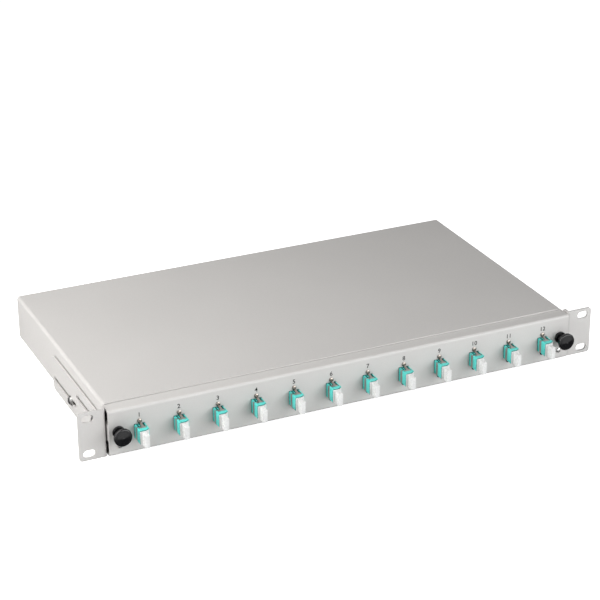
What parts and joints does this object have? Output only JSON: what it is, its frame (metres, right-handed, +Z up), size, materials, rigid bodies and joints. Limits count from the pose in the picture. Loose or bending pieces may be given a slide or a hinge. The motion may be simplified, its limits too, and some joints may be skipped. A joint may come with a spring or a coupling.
{
  "type": "fiber termination box",
  "caption": "Rack-mount fibre termination box, one unit high, with a pull-out tray of duplex adapters, push-pull latches and sliding rack ears.",
  "frame": {"origin": "centre of the rack hole pattern, on the rear face of the two mounting ears", "axes": "+X to the right seen from the front, +Y to the rear, +Z up"},
  "size_m": [0.4826, 0.2809, 0.0436],
  "materials": {
    "powder_coat": "fine-textured light grey powder coat",
    "zinc_steel": "bright zinc plate",
    "spring_steel": "plain rolled spring steel",
    "cage_brass": "pressed, satin",
    "ball_steel": "polished",
    "black_plastic": "glossy moulded",
    "aqua_plastic": "satin moulded",
    "cap_plastic": "soft translucent white",
    "zirconia": "polished ceramic",
    "connector_beige": "satin moulded",
    "boot_white": "soft moulded",
    "fibre_jacket": "tight buffered fibre",
    "cassette_white": "satin moulded",
    "clear_lid": "clear moulded",
    "comb_grey": "soft foam-like plastic",
    "splice_clear": "clear shrink tube",
    "gland_grey": "satin polyamide",
    "seal_rubber": "soft matt"
  },
  "bodies": {
    "housing": {"housing_cover": "powder_coat", "housing_base": "powder_coat", "housing_rear_screws": "zinc_steel", "housing_floor_screws": "zinc_steel", "slide_outer_left": "zinc_steel", "slide_outer_right": "zinc_steel", "bracket_press_nuts": "zinc_steel", "bracket_screws": "zinc_steel", "bracket_washers": "zinc_steel", "cable_gland_bodies": "gland_grey", "cable_gland_locknuts": "gland_grey", "cable_gland_seals": "seal_rubber", "cable_gland_domes": "gland_grey", "blanking_plugs": "gland_grey"},
    "bracket_left": {"mounting_bracket_left": "powder_coat"},
    "bracket_right": {"mounting_bracket_right": "powder_coat"},
    "drawer": {"front_panel": "powder_coat", "tray": "powder_coat", "panel_screws": "zinc_steel", "panel_inserts": "zinc_steel", "slide_inner_left": "zinc_steel", "slide_inner_right": "zinc_steel", "slide_screws": "zinc_steel", "latch_grommet_left": "black_plastic", "latch_grommet_right": "black_plastic", "adapter_bodies": "aqua_plastic", "adapter_clips": "spring_steel", "adapter_screws": "zinc_steel", "adapter_nuts": "zinc_steel", "alignment_sleeves": "zirconia", "pigtail_connectors": "connector_beige", "pigtail_boots": "boot_white", "pigtail_loom": "fibre_jacket", "cassette_base": "cassette_white", "cassette_lid": "clear_lid", "cassette_screws": "zinc_steel", "splice_combs": "comb_grey", "splice_protectors": "splice_clear", "bend_guides": "cassette_white"},
    "slide_cage_left": {"ball_cage_left": "cage_brass", "cage_balls_left": "ball_steel"},
    "slide_cage_right": {"ball_cage_right": "cage_brass", "cage_balls_right": "ball_steel"},
    "knob_left": {"latch_knob_left": "black_plastic"},
    "knob_right": {"latch_knob_right": "black_plastic"},
    "cap_01": {"dust_cap_01": "cap_plastic"},
    "cap_02": {"dust_cap_02": "cap_plastic"},
    "cap_03": {"dust_cap_03": "cap_plastic"},
    "cap_04": {"dust_cap_04": "cap_plastic"},
    "cap_05": {"dust_cap_05": "cap_plastic"},
    "cap_06": {"dust_cap_06": "cap_plastic"},
    "cap_07": {"dust_cap_07": "cap_plastic"},
    "cap_08": {"dust_cap_08": "cap_plastic"},
    "cap_09": {"dust_cap_09": "cap_plastic"},
    "cap_10": {"dust_cap_10": "cap_plastic"},
    "cap_11": {"dust_cap_11": "cap_plastic"},
    "cap_12": {"dust_cap_12": "cap_plastic"}
  },
  "joints": [
    {"name": "drawer_slide", "type": "slide", "parent": "housing", "child": "drawer", "axis": [0, -1, 0], "range_m": [0, 0.15]},
    {"name": "cage_left_roll", "type": "slide", "parent": "housing", "child": "slide_cage_left", "axis": [0, -1, 0], "range_m": [0, 0.075]},
    {"name": "cage_right_roll", "type": "slide", "parent": "housing", "child": "slide_cage_right", "axis": [0, -1, 0], "range_m": [0, 0.075]},
    {"name": "bracket_left_adjust", "type": "slide", "parent": "housing", "child": "bracket_left", "axis": [0, 1, 0], "range_m": [-0.044, 0.01]},
    {"name": "bracket_right_adjust", "type": "slide", "parent": "housing", "child": "bracket_right", "axis": [0, 1, 0], "range_m": [-0.044, 0.01]},
    {"name": "knob_left_pull", "type": "slide", "parent": "drawer", "child": "knob_left", "axis": [0, -1, 0], "range_m": [0, 0.006]},
    {"name": "knob_right_pull", "type": "slide", "parent": "drawer", "child": "knob_right", "axis": [0, -1, 0], "range_m": [0, 0.006]},
    {"name": "cap_01_pull", "type": "slide", "parent": "drawer", "child": "cap_01", "axis": [0, -1, 0], "range_m": [0, 0.02]},
    {"name": "cap_02_pull", "type": "slide", "parent": "drawer", "child": "cap_02", "axis": [0, -1, 0], "range_m": [0, 0.02]},
    {"name": "cap_03_pull", "type": "slide", "parent": "drawer", "child": "cap_03", "axis": [0, -1, 0], "range_m": [0, 0.02]},
    {"name": "cap_04_pull", "type": "slide", "parent": "drawer", "child": "cap_04", "axis": [0, -1, 0], "range_m": [0, 0.02]},
    {"name": "cap_05_pull", "type": "slide", "parent": "drawer", "child": "cap_05", "axis": [0, -1, 0], "range_m": [0, 0.02]},
    {"name": "cap_06_pull", "type": "slide", "parent": "drawer", "child": "cap_06", "axis": [0, -1, 0], "range_m": [0, 0.02]},
    {"name": "cap_07_pull", "type": "slide", "parent": "drawer", "child": "cap_07", "axis": [0, -1, 0], "range_m": [0, 0.02]},
    {"name": "cap_08_pull", "type": "slide", "parent": "drawer", "child": "cap_08", "axis": [0, -1, 0], "range_m": [0, 0.02]},
    {"name": "cap_09_pull", "type": "slide", "parent": "drawer", "child": "cap_09", "axis": [0, -1, 0], "range_m": [0, 0.02]},
    {"name": "cap_10_pull", "type": "slide", "parent": "drawer", "child": "cap_10", "axis": [0, -1, 0], "range_m": [0, 0.02]},
    {"name": "cap_11_pull", "type": "slide", "parent": "drawer", "child": "cap_11", "axis": [0, -1, 0], "range_m": [0, 0.02]},
    {"name": "cap_12_pull", "type": "slide", "parent": "drawer", "child": "cap_12", "axis": [0, -1, 0], "range_m": [0, 0.02]}
  ],
  "couplings": [
    {"joint": "cage_left_roll", "follows": "drawer_slide", "ratio": 0.5},
    {"joint": "cage_right_roll", "follows": "drawer_slide", "ratio": 0.5}
  ]
}
